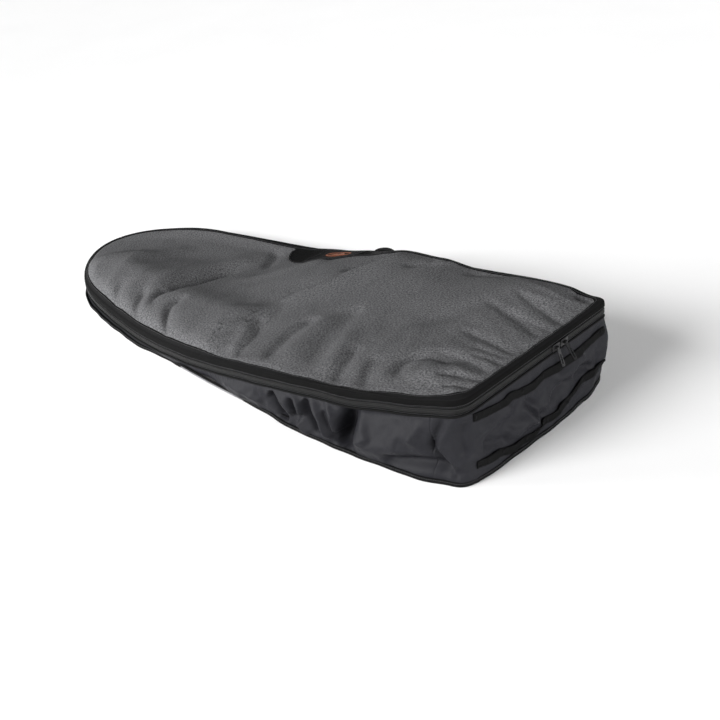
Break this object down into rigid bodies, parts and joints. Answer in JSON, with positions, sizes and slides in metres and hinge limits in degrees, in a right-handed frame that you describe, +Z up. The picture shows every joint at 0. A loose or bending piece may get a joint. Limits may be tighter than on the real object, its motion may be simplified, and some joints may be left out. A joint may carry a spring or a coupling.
{
  "type": "snowboard bag",
  "caption": "Soft padded board bag with a deep squared tail, low rounded nose, zip-open lid on a fold at the nose, tail webbing and a side carry handle.",
  "frame": {"origin": "middle of the flat underside of the base, on the floor", "axes": "+X along the bag to the squared tail, +Y to the side with the carry handle, +Z up"},
  "size_m": [1.4295, 0.6007, 0.1762],
  "materials": {
    "fabric_charcoal": "smooth coated weave, slight sheen",
    "fabric_heather": "two-tone heather weave, matt",
    "binding_black": "ribbed binding tape",
    "webbing_black": "ribbed polyester webbing",
    "zip_tape": "herringbone zip tape",
    "coil_black": "nylon coil, satin",
    "foam_white": "closed-cell foam",
    "lining_grey": "plain smooth lining",
    "slider_metal": "gunmetal plating",
    "stitch_thread": "twisted thread",
    "badge_fabric": "woven badge",
    "emblem_rust": "embroidered thread"
  },
  "bodies": {
    "base": {"base_panel": "fabric_charcoal", "gusset_near": "fabric_charcoal", "gusset_far": "fabric_charcoal", "gusset_tail": "fabric_charcoal", "gusset_nose": "fabric_charcoal", "base_foam": "foam_white", "gusset_foam_near": "foam_white", "gusset_foam_far": "foam_white", "gusset_foam_tail": "foam_white", "gusset_foam_nose": "foam_white", "nose_foam": "foam_white", "base_lining": "lining_grey", "gusset_lining": "lining_grey", "nose_lining": "lining_grey", "base_binding": "binding_black", "zip_piping": "binding_black", "nose_binding": "binding_black", "base_seam_tape": "binding_black", "nose_seam_tape": "binding_black", "zip_tape_lower": "zip_tape", "zip_coil_lower": "coil_black", "zip_end_stops": "coil_black", "nose_panel": "fabric_heather", "tail_webbing_upper": "webbing_black", "tail_webbing_lower": "webbing_black", "handle_anchors": "webbing_black", "tail_bar_tacks": "stitch_thread"},
    "lid": {"lid_panel": "fabric_heather", "lid_foam": "foam_white", "lid_lining": "lining_grey", "lid_binding": "binding_black", "lid_seam_tape": "binding_black", "zip_tape_upper": "zip_tape", "zip_coil_upper": "coil_black", "lid_reinforcement": "binding_black", "lid_badge": "badge_fabric", "lid_emblem": "emblem_rust"},
    "slider_near": {"slider_near": "slider_metal"},
    "slider_far": {"slider_far": "slider_metal"},
    "pull_near": {"pull_near": "slider_metal"},
    "pull_far": {"pull_far": "slider_metal"},
    "handle": {"handle_strap": "webbing_black", "handle_grip": "badge_fabric"}
  },
  "joints": [
    {"name": "lid_fold", "type": "hinge", "parent": "base", "child": "lid", "pos_m": [-0.56, 0, 0.0432], "axis": [0, -1, 0], "range_deg": [0, 105]},
    {"name": "slider_near_run", "type": "slide", "parent": "base", "child": "slider_near", "axis": [0, 1, 0], "range_m": [-0.21, 0]},
    {"name": "slider_far_run", "type": "slide", "parent": "base", "child": "slider_far", "axis": [0, 1, 0], "range_m": [0, 0.105]},
    {"name": "pull_near_swing", "type": "hinge", "parent": "slider_near", "child": "pull_near", "pos_m": [0.7061, 0.041, 0.157], "axis": [0, -1, 0], "range_deg": [0, 145]},
    {"name": "pull_far_swing", "type": "hinge", "parent": "slider_far", "child": "pull_far", "pos_m": [0.7061, 0.065, 0.157], "axis": [0, -1, 0], "range_deg": [0, 130]},
    {"name": "handle_tilt", "type": "hinge", "parent": "base", "child": "handle", "pos_m": [0.027, 0.28446, 0.0378], "axis": [0.9891, 0, 0.1471], "range_deg": [-85, 15]}
  ]
}
